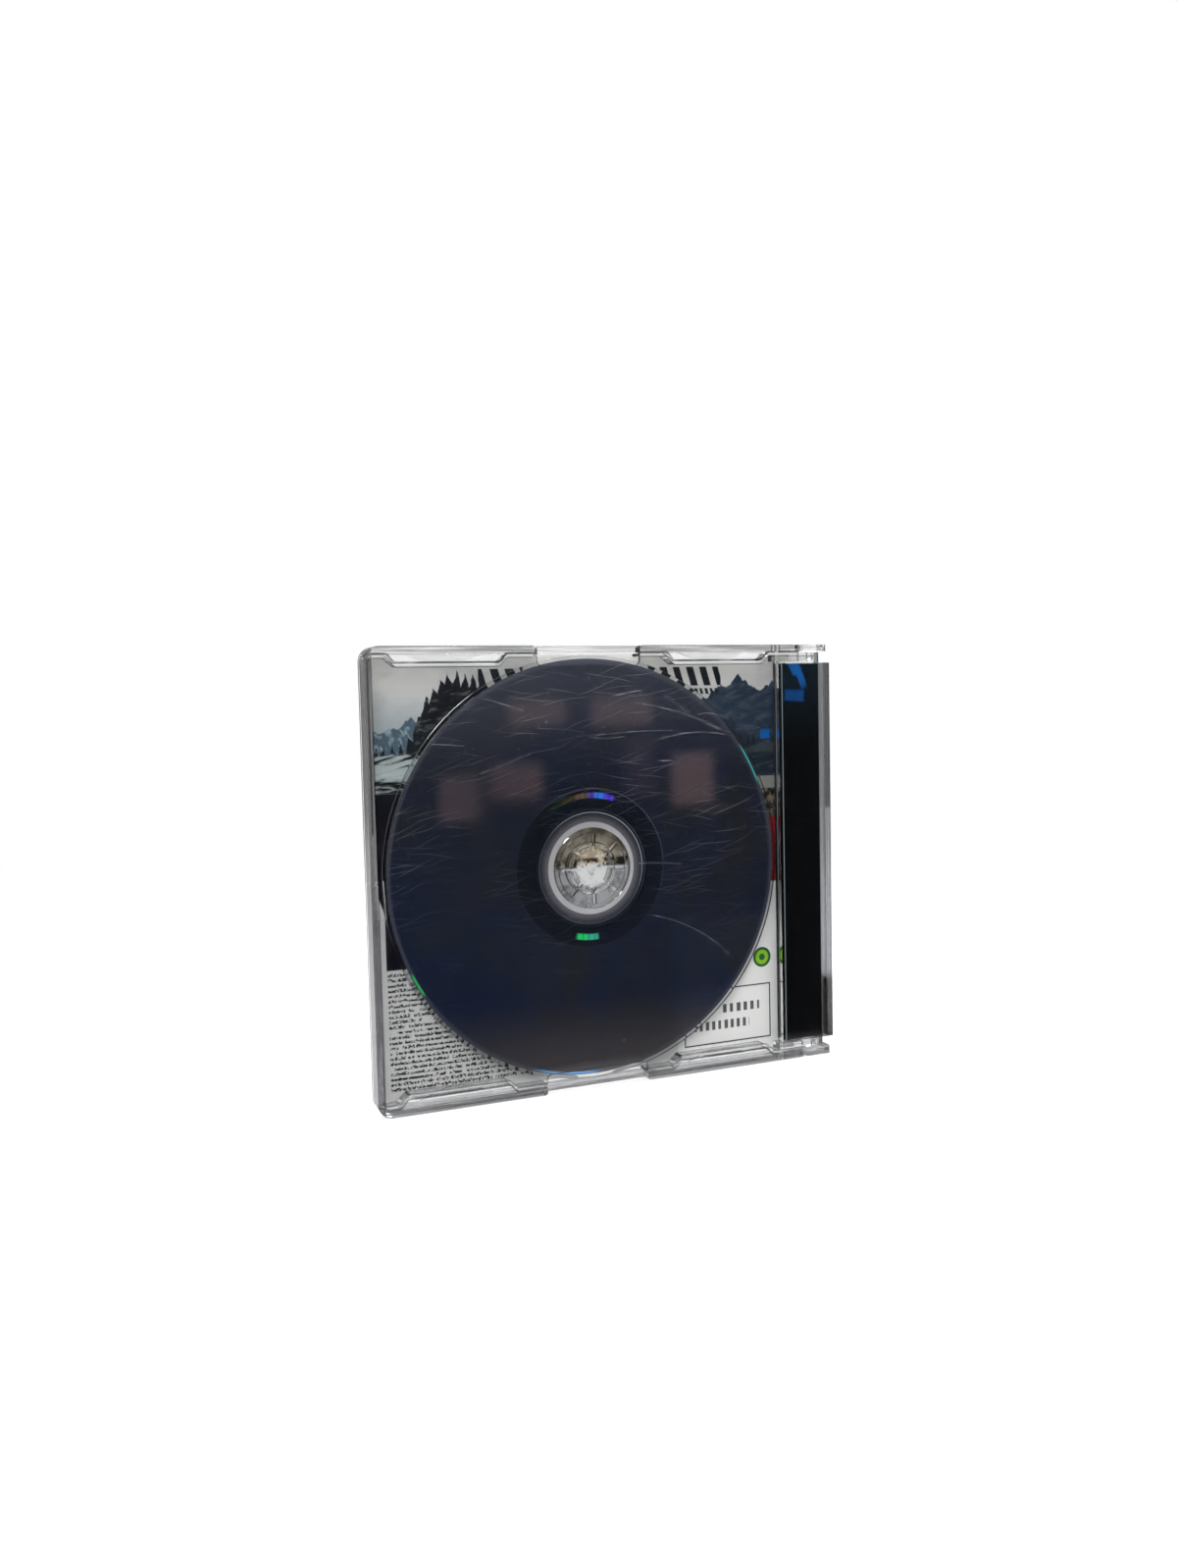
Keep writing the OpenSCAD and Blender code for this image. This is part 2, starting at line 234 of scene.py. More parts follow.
def group_tree(name, inputs, outputs):
    """An empty shader group with float sockets, and a vector one where a default has three parts."""
    tree = bpy.data.node_groups.new(name, "ShaderNodeTree")
    for socket_name, value in inputs.items():
        kind = "NodeSocketVector" if isinstance(value, tuple) else "NodeSocketFloat"
        socket = tree.interface.new_socket(socket_name, in_out="INPUT", socket_type=kind)
        socket.default_value = value
    for socket_name in outputs:
        tree.interface.new_socket(socket_name, in_out="OUTPUT", socket_type="NodeSocketFloat")
    net = Net(tree)
    return tree, net, net.add("NodeGroupInput").outputs, net.add("NodeGroupOutput").inputs


def stroke_group():
    """One thin bowed stroke in the elevation, with tapered ends."""
    found = bpy.data.node_groups.get("Stroke")
    if found:
        return found
    inputs = {
        "Place": (0.0, 0.0, 0.0), "Middle": (0.0, 0.0, 0.0), "Turn": 0.0, "Half length": 5.0, "Bow": 0.0,
        "Width": 0.15}
    tree, net, given, result = group_tree("Stroke", inputs, ["Mask"])
    turned = {"Vector": given["Place"], "Center": given["Middle"], "Angle": given["Turn"]}
    spun = net.add("ShaderNodeVectorRotate", turned, rotation_type="Y_AXIS").outputs[0]
    local = net.add("ShaderNodeVectorMath", {0: spun, 1: given["Middle"]}, operation="SUBTRACT")
    parts = net.add("ShaderNodeSeparateXYZ", {0: local.outputs[0]}).outputs
    along = net.math("DIVIDE", parts[0], given["Half length"])
    arch = net.minus(1.0, net.times(along, along))
    off = net.gap(parts[2], net.times(arch, given["Bow"]))
    line = net.fall(off, net.times(given["Width"], 0.35), net.times(given["Width"], 0.65))
    ends = net.fall(net.math("ABSOLUTE", along), 0.70, 1.0)
    net.put(result["Mask"], net.times(line, ends))
    return tree


def hairlines_group():
    """Fine handling scratches: broken hairlines in three directions."""
    found = bpy.data.node_groups.get("Hairlines")
    if found:
        return found
    inputs = {
        "Place": (0.0, 0.0, 0.0), "Turn": 0.0, "Spacing": 1.6, "Length": 14.0, "Width": 0.08, "Share": 0.3}
    tree, net, given, result = group_tree("Hairlines", inputs, ["Mask"])
    total = 0.0
    for lean, shift in ((0.0, 3.0), (-0.30, 51.0), (0.26, 97.0)):
        angle = net.plus(given["Turn"], lean)
        turned = {"Vector": given["Place"], "Center": (0.0, 0.0, 0.0), "Angle": angle}
        spun = net.add("ShaderNodeVectorRotate", turned, rotation_type="Y_AXIS").outputs[0]
        parts = net.add("ShaderNodeSeparateXYZ", {0: spun}).outputs
        bend = net.noise(given["Place"], 0.035, 1.0)
        row = net.math("DIVIDE", parts[2], given["Spacing"])
        row = net.plus(row, net.math("MULTIPLY_ADD", bend, 3.5, shift))
        number = net.math("FLOOR", row)
        away = net.times(net.gap(net.math("FRACT", row), 0.5), given["Spacing"])
        line = net.fall(away, net.times(given["Width"], 0.3), net.times(given["Width"], 0.7))
        run = net.math("DIVIDE", parts[0], given["Length"])
        where = net.vector(net.math("MULTIPLY_ADD", number, 7.31, run), 0.0, number)
        luck = net.noise(where, 1.0, 0.0)
        least = net.minus(0.85, given["Share"])
        kept = net.step(luck, least, net.plus(least, 0.12))
        total = net.most(total, net.times(line, kept))
    net.put(result["Mask"], total)
    return tree


def haze_group():
    """Cloudy wear of handled plastic: soft smears and specks of dust."""
    found = bpy.data.node_groups.get("Haze")
    if found:
        return found
    inputs = {"Place": (0.0, 0.0, 0.0), "Size": 10.0}
    tree, net, given, result = group_tree("Haze", inputs, ["Smear", "Speck"])
    scale = net.math("DIVIDE", 1.0, given["Size"])
    cloud = net.noise(given["Place"], scale, 4.0, 0.6, 0.6)
    net.put(result["Smear"], net.step(cloud, 0.35, 0.75))
    fine = net.times(scale, 14.0)
    speck = net.noise(given["Place"], fine, 1.0)
    net.put(result["Speck"], net.step(speck, 0.80, 0.84))
    return tree


def use_group(net, tree, **values):
    node = net.add("ShaderNodeGroup", node_tree=tree)
    for name, value in values.items():
        net.put(node.inputs[name.replace("_", " ")], value)
    return node.outputs


def strokes(net, place, rows):
    """Mask of several strokes, one for each row."""
    total = 0.0
    for x, z, turn, half, bow, width in rows:
        made = use_group(
            net, stroke_group(), Place=place, Middle=(x, 0.0, z), Turn=turn, Half_length=half, Bow=bow,
            Width=width)
        total = net.most(total, made["Mask"])
    return total


class CaseSettings(bpy.types.PropertyGroup):
    """The two clear mouldings."""

    tint: FloatVectorProperty(
        name="Tint", description="Colour of light that has passed the plastic", subtype="COLOR",
        size=3, default=(0.77, 0.775, 0.775), min=0, max=1)
    # Wall tint: painted shade that greys the upper rails, seen along their depth
    wall_tint: FloatVectorProperty(
        name="Wall tint", description="The same through the depth of a wall", subtype="COLOR",
        size=3, default=(0.56, 0.565, 0.57), min=0, max=1)
    ior: FloatProperty(name="Index", description="Refraction of the plastic", default=1.5, min=1.3, max=1.7)
    roughness: FloatProperty(
        name="Roughness", description="Roughness of the moulded skin", default=0.02, min=0, max=1)
    edge: FloatProperty(
        name="Edge radius", description="Rounding of the moulded edges", default=0.18 * MM, unit="LENGTH")


class DiscSettings(bpy.types.PropertyGroup):
    """The disc's rings, from the hole outwards."""

    clear_to: FloatProperty(
        name="Clear to", description="Radius where the clear middle ends", default=11.5 * MM, unit="LENGTH")
    ring_to: FloatProperty(
        name="Ring to", description="Radius where the pale ring ends", default=13.1 * MM, unit="LENGTH")
    foil_to: FloatProperty(
        name="Foil to", description="Radius where the dark layer ends", default=58.9 * MM, unit="LENGTH")
    foil: FloatVectorProperty(
        name="Foil", description="Colour of the recorded layer", subtype="COLOR", size=3,
        default=(0.013, 0.017, 0.030), min=0, max=1)
    ring: FloatVectorProperty(
        name="Ring", description="Colour of the pale ring", subtype="COLOR", size=3,
        default=(0.50, 0.49, 0.51), min=0, max=1)
    gloss: FloatProperty(
        name="Gloss", description="Strength of the mirrored light", default=0.15, min=0, max=1)
    rounding: FloatProperty(
        name="Rounding", description="Rounding of the disc's edges", default=0.1 * MM, unit="LENGTH")
    segments: IntProperty(name="Segments", description="Steps round the disc", default=240, min=24)


def ink_colour(name, description, default):
    return FloatVectorProperty(
        name=name, description=description, subtype="COLOR", size=3, default=default, min=0, max=1)


class CardSettings(bpy.types.PropertyGroup):
    """Inks of the folded card."""

    paper: ink_colour("Paper", "Bare coated card", (0.66, 0.655, 0.645))
    sky: ink_colour("Sky", "Cream top field", (0.60, 0.585, 0.565))
    night: ink_colour("Night", "Darkest ink", (0.012, 0.014, 0.019))
    slate: ink_colour("Slate", "Blue-grey ink", (0.022, 0.036, 0.060))
    red: ink_colour("Red", "Field beside the disc", (0.30, 0.012, 0.024))
    flap: ink_colour("Flap", "Black of the flap and the spine", (0.0024, 0.0029, 0.0042))
    pen: ink_colour("Pen", "Blue marker on the flap", (0.006, 0.105, 0.38))


class StudioSettings(bpy.types.PropertyGroup):
    """Camera and floor."""

    camera_at: FloatVectorProperty(
        name="Camera", description="Where the camera stands", subtype="TRANSLATION", unit="LENGTH",
        size=3, default=(-0.1452, -0.3284, 0.1086))
    camera_look: FloatVectorProperty(
        name="Look", description="Direction of the view", size=3, default=(0.3866, 0.9201, -0.0628))
    camera_roll: FloatProperty(
        name="Roll", description="Lean of the camera", subtype="ANGLE", default=math.radians(1.3))
    focal_px: FloatProperty(
        name="Focal length", description="In pixels of the photo's frame", default=1288.7)
    floor: FloatVectorProperty(
        name="Floor", description="Colour of the floor", subtype="COLOR", size=3,
        default=(0.86, 0.86, 0.86), min=0, max=1)
    near_side: FloatProperty(
        name="Near side", description="Brightness of the room behind the camera, as mirrored",
        default=0.012, min=0, max=1)
    far_side: FloatProperty(
        name="Far side", description="Brightness of the room behind the case, as mirrored",
        default=0.4, min=0, max=1)


def settings():
    scene = bpy.context.scene
    return scene.disc_case, scene.disc_look, scene.card_print, scene.case_studio


def clear_plastic(name, turn, tray=False):
    """Clear polystyrene, rubbed on its outer faces; shadows pass it to reach what lies inside."""
    case = settings()[0]
    material, net, shader = new_material(name)
    shader.inputs["IOR"].default_value = case.ior
    shader.inputs["Transmission Weight"].default_value = 1.0
    shader.inputs["Coat Roughness"].default_value = 0.6
    shader.inputs["Coat IOR"].default_value = 2.4
    place, x, y, z = net.place()
    net.put(shader.inputs["Base Color"], depth_colour(net, place, x, z, case, tray))
    outer = net.step(net.math("ABSOLUTE", y), FACE_Y - SKIN[1], FACE_Y - SKIN[0])
    lines = use_group(net, hairlines_group(), Place=place, Turn=turn, Share=0.22)["Mask"]
    lines = net.times(lines, 0.45)
    if tray:
        lines = net.most(lines, strokes(net, place, LONG_SCRATCHES))
    lines = net.times(lines, outer)
    haze = use_group(net, haze_group(), Place=place, Size=24.0)
    rough = net.math("MULTIPLY_ADD", haze["Smear"], 0.03, case.roughness)
    rough = net.math("MULTIPLY_ADD", lines, 0.3, rough)
    # The hinge ends and the opening edge are duller than the rest
    ends = net.step(net.gap(z, CASE_MIDDLE), CASE_MIDDLE - FROST_DEPTH[1], CASE_MIDDLE - FROST_DEPTH[0])
    frosted = net.times(ends, net.step(x, *FROST_X, 0.0, 0.22))
    rough = net.plus(rough, net.step(x, -70.95, -70.92, 0.22, 0.0))
    net.put(shader.inputs["Roughness"], net.plus(rough, frosted))
    net.put(shader.inputs["Coat Weight"], lines)
    # Painted glow: emission along the panel's end or the strip's edge stands in for light carried inside
    # the plastic
    left, right = PANEL_END if tray else STRIP_EDGE
    back = net.fall(y, SKIN[0] - FACE_Y, SKIN[1] - FACE_Y)
    edge = net.times(net.band(x, left, right, 0.04), back)
    painted_glow = (0.085, 0.105, 0.115, 1) if tray else (0.16, 0.205, 0.23, 1)
    net.put(shader.inputs["Emission Color"], net.mix(edge, (0, 0, 0, 1), painted_glow))
    shader.inputs["Emission Strength"].default_value = 1.0
    waves = net.noise(place, 0.09, 1.0)
    bump = net.add("ShaderNodeBump", {"Strength": 0.05, "Distance": 0.1 * MM, "Height": waves})
    net.put(shader.inputs["Normal"], bump.outputs[0])
    pass_shadows(net, material, shader, tuple(min(1.0, c * 1.06) for c in case.tint))
    return material


def wall_path(net, x):
    """Distance of the tray's inner wall from the long edge, with two jogs on each side."""
    path = WALL_FOOT
    for centre in JOG_CENTRES:
        inside = net.minus(JOG_HALF, net.gap(x, centre))
        path = net.math("MULTIPLY_ADD", net.step(inside, 0.0, JOG_RUN), JOG_RISE, path)
    return path


def from_long_edge(net, z):
    """Distance from the nearer long edge."""
    return net.minus(CASE_MIDDLE, net.gap(z, CASE_MIDDLE))


def depth_colour(net, place, x, z, case, tray):
    """Tint with painted shade and light: greyer where walls are seen along their depth, with painted pale
    lines along them and painted highlights at the wall roots.
    """
    from_edge = from_long_edge(net, z)
    inner = net.minus(wall_path(net, x), 0.5)
    colour = net.mix(below(net, from_edge, inner, 0.15), rgb(case.tint), (0.95, 0.95, 0.95, 1))
    # Painted light: the tint is lighter towards the lower right, as if less shade fell there
    lit_patch = net.times(net.band(x, 18.0, 50.0, 4.0), net.step(z, 52.0, 40.0, 0.0, 0.75))
    colour = net.mix(lit_patch, colour, (0.97, 0.97, 0.97, 1))
    # Rails: painted shade, greyer along their depth and darker towards the bottom edge, with painted pale
    # lines along them
    along = net.noise(net.stretch(place, 0.0, 0.035, 1.7), 1.0, 3.0, 0.6)
    upper = net.step(z, CASE_MIDDLE - 10.0, CASE_MIDDLE + 10.0)
    deep = net.mix(upper, (0.25, 0.25, 0.26, 1), rgb(case.wall_tint))
    painted_streaks = net.mix(upper, (0.62, 0.62, 0.63, 1), (0.97, 0.97, 0.97, 1))
    rails = net.mix(net.step(along, 0.44, 0.60), deep, painted_streaks)
    colour = net.mix(net.fall(from_edge, 1.4, 2.1), colour, rails)
    # Opening wall and spine: painted shade along their depth, darkest on the tray's opening wall and at the
    # foot of the spine, with a few painted pale highlight lines
    along = net.noise(net.stretch(place, 0.0, 1.7, 0.03), 1.0, 3.0, 0.6)
    pale = net.step(along, 0.56, 0.64)
    low, high = (0.13, 0.20) if tray else (0.85, 0.95)
    opening = net.mix(upper, (low, low, low * 1.04, 1), (high, high, high, 1))
    opening = net.mix(net.times(pale, 0.5), opening, (0.60, 0.60, 0.62, 1))
    colour = net.mix(net.fall(x, -69.0, -68.8), colour, opening)
    spine = net.mix(net.step(x, 69.1, 69.4), (0.93, 0.93, 0.93, 1), (0.23, 0.24, 0.25, 1))
    spine = net.mix(net.times(pale, 0.25), spine, (0.7, 0.7, 0.7, 1))
    spine = net.mix(net.step(z, 25.0, 22.5, 0.0, 0.9), spine, (0.085, 0.08, 0.08, 1))
    colour = net.mix(net.step(x, 67.6, 67.9), colour, spine)
    if tray:
        # Painted highlight along the inner wall's root, with painted shade on either side
        painted_light, dark = wall_root(net, place, x, from_edge)
        colour = net.mix(dark, colour, (0.16, 0.16, 0.17, 1))
        colour = net.mix(painted_light, colour, (1, 1, 1, 1))
    return colour


def wall_root(net, place, x, from_edge):
    """Painted highlight line where the tray's inner wall meets the panel, and its painted shade borders;
    noise breaks both.
    """
    off = net.minus(wall_path(net, x), from_edge)
    reach = net.step(off, -0.1, 0.1, 0.60, 0.98)
    off = net.math("ABSOLUTE", off)
    off = net.math("MINIMUM", off, net.gap(x, STEP_WALL_X))
    wear_and_patchy_sheen = net.step(net.noise(place, 0.22, 2.0), 0.25, 0.5, 0.55, 1.0)
    kept = net.times(net.step(x, -69.0, -68.6), wear_and_patchy_sheen)
    painted_light = net.times(net.fall(off, 0.30, 0.42), kept)
    dark = net.times(net.step(off, 0.38, 0.48), below(net, off, reach, 0.06))
    dark = net.times(dark, kept)
    return painted_light, dark


def pass_shadows(net, material, shader, tint):
    """Lets lamps shine through a clear material, tinted."""
    output = material.node_tree.nodes["Material Output"]
    shadow = net.add("ShaderNodeLightPath").outputs["Is Shadow Ray"]
    through = net.add("ShaderNodeBsdfTransparent", {"Color": rgb(tint)})
    joined = net.add("ShaderNodeMixShader", {0: shadow, 1: shader.outputs[0], 2: through.outputs[0]})
    net.put(output.inputs["Surface"], joined.outputs[0])


def dress_moulding(node, material):
    """Gives a clear CAD moulding its material and softly rounded edges."""
    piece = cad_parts[node]
    piece.data.materials.clear()
    piece.data.materials.append(material)
    weld = piece.modifiers.new("Join", "WELD")
    weld.merge_threshold = 0.002 * MM
    flat = piece.modifiers.new("Flats", "DECIMATE")
    flat.decimate_type = "DISSOLVE"
    flat.angle_limit = math.radians(0.8)
    flat.delimit = set()
    round_edges = piece.modifiers.new("Edges", "BEVEL")
    round_edges.width = settings()[0].edge
    round_edges.segments = 2
    round_edges.limit_method = "ANGLE"
    round_edges.angle_limit = math.radians(35)
    round_edges.use_clamp_overlap = True
    return piece


def ring_tree():
    """Geometry nodes for one flat ring of the disc, with rounded edges, about the disc's axis."""
    tree = bpy.data.node_groups.new("Disc ring", "GeometryNodeTree")
    tree.interface.new_socket("Geometry", in_out="OUTPUT", socket_type="NodeSocketGeometry")
    kinds = {
        "Inner radius": "Float", "Outer radius": "Float", "Data side": "Float", "Label side": "Float",
        "Rounding": "Float", "Segments": "Int", "Material": "Material"}
    ids = {}
    for name, kind in kinds.items():
        socket = tree.interface.new_socket(name, in_out="INPUT", socket_type="NodeSocket" + kind)
        ids[name] = socket.identifier
    net = Net(tree)
    given = net.add("NodeGroupInput").outputs
    inner, outer = given["Inner radius"], given["Outer radius"]
    low, high = given["Data side"], given["Label side"]
    radius = net.times(net.plus(inner, outer), 0.5)
    middle = net.times(net.plus(low, high), 0.5)
    circle = {"Resolution": given["Segments"], "Radius": radius}
    path = net.add("GeometryNodeCurvePrimitiveCircle", circle, mode="RADIUS")
    sides = {"Width": net.minus(outer, inner), "Height": net.minus(high, low)}
    section = net.add("GeometryNodeCurvePrimitiveQuadrilateral", sides, mode="RECTANGLE")
    edges = {"Curve": section.outputs[0], "Radius": given["Rounding"], "Count": 2}
    rounded = net.add("GeometryNodeFilletCurve", edges, mode="POLY")
    curves = {"Curve": path.outputs[0], "Profile Curve": rounded.outputs[0]}
    swept = net.add("GeometryNodeCurveToMesh", curves)
    at = net.vector(DISC_CENTRE.x, middle, DISC_CENTRE.z)
    placing = {"Geometry": swept.outputs[0], "Translation": at, "Rotation": (math.pi / 2, 0, 0)}
    placed = net.add("GeometryNodeTransform", placing)
    plain = net.add("GeometryNodeRealizeInstances", {0: placed.outputs[0]})
    dressing = {"Geometry": plain.outputs[0], "Material": given["Material"]}
    dressed = net.add("GeometryNodeSetMaterial", dressing)
    net.put(net.add("NodeGroupOutput").inputs[0], dressed.outputs[0])
    return tree, ids


def ring_piece(name, rings, material):
    """One plain mesh of several rings, each given by its two radii and its two depths."""
    look = settings()[1]
    tree, ids = ring_tree()
    bm = bmesh.new()
    for inner, outer, low, high, rounding in rings:
        seed = bpy.data.objects.new(name + "_ring", bpy.data.meshes.new(name + "_ring"))
        bpy.context.scene.collection.objects.link(seed)
        nodes = seed.modifiers.new("Ring", "NODES")
        nodes.node_group = tree
        values = {
            "Inner radius": inner, "Outer radius": outer, "Data side": low, "Label side": high,
            "Rounding": rounding, "Segments": look.segments, "Material": material}
        for key, value in values.items():
            nodes[ids[key]] = value
        graph = bpy.context.evaluated_depsgraph_get()
        made = bpy.data.meshes.new_from_object(seed.evaluated_get(graph))
        bm.from_mesh(made)
        bpy.data.objects.remove(seed)
    bmesh.ops.recalc_face_normals(bm, faces=bm.faces)
    mesh = bpy.data.meshes.new(name)
    bm.to_mesh(mesh)
    bm.free()
    mesh.materials.append(material)
    piece = bpy.data.objects.new(name, mesh)
    bpy.context.scene.collection.objects.link(piece)
    return piece


def soften(piece, angle):
    """Smooth shading, with edges sharper than angle kept."""
    for polygon in piece.data.polygons:
        polygon.use_smooth = True
    piece.data.set_sharp_from_angle(angle=math.radians(angle))


def foil_material():
    """Dark recorded layer: rings, painted glints of split light, painted reflections and hairlines; the
    label side is plain print.
    """
    look = settings()[1]
    material, net, shader = new_material("recorded_layer")
    place, x, y, z = net.place((DISC_CENTRE.x, 0, DISC_CENTRE.z))
    radius = net.length(x, z)
    turn = net.math("ARCTAN2", z, x)
    fine = use_group(
        net, hairlines_group(), Place=place, Turn=0.12, Length=20.0, Share=0.32, Width=0.07)["Mask"]
    short = use_group(
        net, hairlines_group(), Place=place, Turn=-1.35, Spacing=2.9, Length=4.0, Share=0.20,
        Width=0.08)["Mask"]
    wear_and_patchy_sheen = net.most(fine, net.times(short, 0.6))
    patchy = net.step(net.noise(place, 0.045, 2.0), 0.38, 0.66, 0.15, 1.0)
    wear_and_patchy_sheen = net.times(wear_and_patchy_sheen, net.times(patchy, net.step(z, -48.0, 36.0, 0.12, 1.0)))
    haze = use_group(net, haze_group(), Place=place, Size=30.0)
    cloud = net.step(net.noise(place, 0.02, 2.0), 0.40, 0.60)
    navy = net.mix(cloud, rgb(look.foil), (0.010, 0.016, 0.038, 1))
    colour = net.mix(haze["Smear"], navy, (0.018, 0.019, 0.024, 1))
    # Painted reflections: lighter and bluer towards the top, lighter and warmer towards the bottom, as if
    # mirroring the room
    colour = net.mix(net.step(z, 22.0, 56.0, 0.0, 0.8), colour, (0.046, 0.050, 0.066, 1))
    colour = net.mix(net.step(z, -34.0, -58.0, 0.0, 0.85), colour, (0.060, 0.054, 0.057, 1))
    colour = net.mix(net.times(haze["Speck"], 0.5), colour, (0.20, 0.20, 0.21, 1))
    # Rings towards the middle: a pale mirror band painted as mirrored light, fading outwards as a painted
    # glow, a darker one, and fine painted highlight lines on their borders
    inner = net.band(radius, look.ring_to / MM, 15.8, 0.2)
    mirror_glow = net.mix(net.step(radius, 13.0, 15.6), (0.15, 0.145, 0.16, 1), (0.035, 0.037, 0.050, 1))
    colour = net.mix(net.times(inner, 0.85), colour, mirror_glow)
    dark = net.band(radius, 15.8, 22.5, 0.2)
    colour = net.mix(net.times(dark, 0.6), colour, (0.005, 0.006, 0.010, 1))
    # Painted highlights: the border lines are lighter towards the upper right
    painted_lit_side = net.step(net.math("COSINE", net.minus(turn, 1.0)), -0.1, 0.9, 0.16, 1.0)
    borders = ((15.8, 0.12, 0.9), (16.6, 0.08, 0.2), (22.5, 0.10, 0.18), (57.6, 0.08, 0.10))
    for at, width, strength in borders:
        line = net.times(net.band(radius, at - width, at + width, 0.05), painted_lit_side)
        colour = net.mix(net.times(line, strength), colour, (0.42, 0.44, 0.50, 1))
    rim = net.band(radius, 57.9, 58.9, 0.2)
    colour = net.mix(net.times(rim, 0.30), colour, (0.12, 0.13, 0.16, 1))
    colour = glints(net, radius, turn, colour)
    pale = net.fall(radius, look.ring_to / MM - 0.1, look.ring_to / MM + 0.1)
    colour = net.mix(pale, colour, rgb(look.ring))
    strength = net.step(net.math("MULTIPLY_ADD", x, 0.6, z), 0.0, 50.0, 0.55, 0.95)
    colour = net.mix(net.times(wear_and_patchy_sheen, strength), colour, (0.32, 0.33, 0.37, 1))
    centre = tuple(DISC_CENTRE / MM)
    moved = net.add("ShaderNodeVectorMath", {0: place, 1: centre}, operation="ADD").outputs[0]
    broken = net.step(net.noise(place, 0.35, 3.0, 0.7), 0.40, 0.60, 0.12, 0.80)
    deep = net.times(strokes(net, moved, LONG_SCRATCHES), broken)
    colour = net.mix(deep, colour, (0.36, 0.38, 0.42, 1))
    label = net.step(y, LABEL_Y / MM - 0.35, LABEL_Y / MM - 0.25)
    colour = net.mix(label, colour, label_print(net, x, z, radius))
    net.put(shader.inputs["Base Color"], colour)
    rough = net.math("MULTIPLY_ADD", haze["Smear"], 0.08, 0.10)
    rough = net.math("MULTIPLY_ADD", wear_and_patchy_sheen, 0.3, rough)
    net.put(shader.inputs["Roughness"], net.most(rough, net.times(label, 0.35)))
    shader.inputs["Specular IOR Level"].default_value = look.gloss
    bump = net.add("ShaderNodeBump", {"Strength": 0.2, "Distance": 0.02 * MM, "Height": wear_and_patchy_sheen})
    net.put(shader.inputs["Normal"], bump.outputs[0])
    return material


def glints(net, radius, turn, colour):
    """Painted arcs of split light: ruled ones near the middle and thin ones along the rim."""
    ticks = net.math("FRACT", net.times(turn, 11.0))
    ruled = net.step(net.gap(ticks, 0.5), 0.42, 0.46, 1.0, 0.25)
    arcs = (
        (20.6, 0.75, 2.05, 0.20, (0.010, 0.026, 0.014, 1), ruled),
        (20.6, 0.75, 1.84, 0.20, (0.045, 0.040, 0.012, 1), ruled),
        (20.6, 0.75, 1.66, 0.16, (0.13, 0.085, 0.055, 1), ruled),
        (20.6, 0.80, 1.52, 0.10, (0.09, 0.05, 0.42, 1), ruled),
        (20.6, 0.80, 1.41, 0.12, (0.04, 0.22, 0.95, 1), ruled),
        (20.6, 0.80, 1.28, 0.09, (0.08, 0.04, 0.75, 1), ruled),
        (19.6, 0.85, -1.73, 0.12, (0.02, 0.62, 0.16, 1), ruled),
        (19.6, 0.85, -1.57, 0.11, (0.05, 0.42, 0.28, 1), ruled),
        (58.6, 0.13, 0.49, 0.13, (0.05, 0.70, 0.66, 1), 1.0),
        (58.4, 0.25, -2.64, 0.07, (0.03, 0.50, 0.12, 1), 1.0),
        (58.4, 0.30, -1.72, 0.20, (0.12, 0.30, 0.58, 1), 1.0))
    for at, half, angle, spread, tone, teeth in arcs:
        ring = net.band(radius, at - half, at + half, 0.12)
        patch = net.times(ring, net.fall(net.gap(turn, angle), spread * 0.5, spread))
        colour = net.mix(net.times(patch, teeth), colour, tone)
    return colour


def label_print(net, x, z, radius):
    """Plain print of the label side: pale grey over a dark lower field, with a ring."""
    slope = net.math("MULTIPLY_ADD", x, 0.35, z)
    tone = net.mix(net.step(slope, -14.0, -13.4), (0.06, 0.09, 0.13, 1), (0.52, 0.53, 0.54, 1))
    tone = net.mix(net.band(slope, -12.6, -11.6, 0.1), tone, (0.06, 0.09, 0.13, 1))
    return net.mix(net.band(radius, 20.0, 23.0, 0.1), tone, (0.30, 0.32, 0.34, 1))


def disc_clear_material():
    """Clear middle and rim of the disc."""
    material, net, shader = new_material("disc_clear")
    shader.inputs["Base Color"].default_value = (0.90, 0.91, 0.92, 1)
    shader.inputs["IOR"].default_value = 1.5
    shader.inputs["Transmission Weight"].default_value = 1.0
    place = net.place()[0]
    haze = use_group(net, haze_group(), Place=place, Size=6.0)
    net.put(shader.inputs["Roughness"], net.math("MULTIPLY_ADD", haze["Smear"], 0.05, 0.03))
    pass_shadows(net, material, shader, (0.92, 0.93, 0.94))
    return material


class CASE_OT_tray(bpy.types.Operator):
    """Dress the clear back tray"""

    bl_idname = "disc_case.tray"
    bl_label = "Dress back tray"

    def execute(self, context):
        piece = dress_moulding("back_tray", clear_plastic("clear_tray", 0.1, tray=True))
        return {"FINISHED"}


class CASE_OT_lid(bpy.types.Operator):
    """Dress the clear front lid"""

    bl_idname = "disc_case.lid"
    bl_label = "Dress front lid"

    def execute(self, context):
        piece = dress_moulding("front_lid", clear_plastic("clear_lid", -0.7))
        return {"FINISHED"}


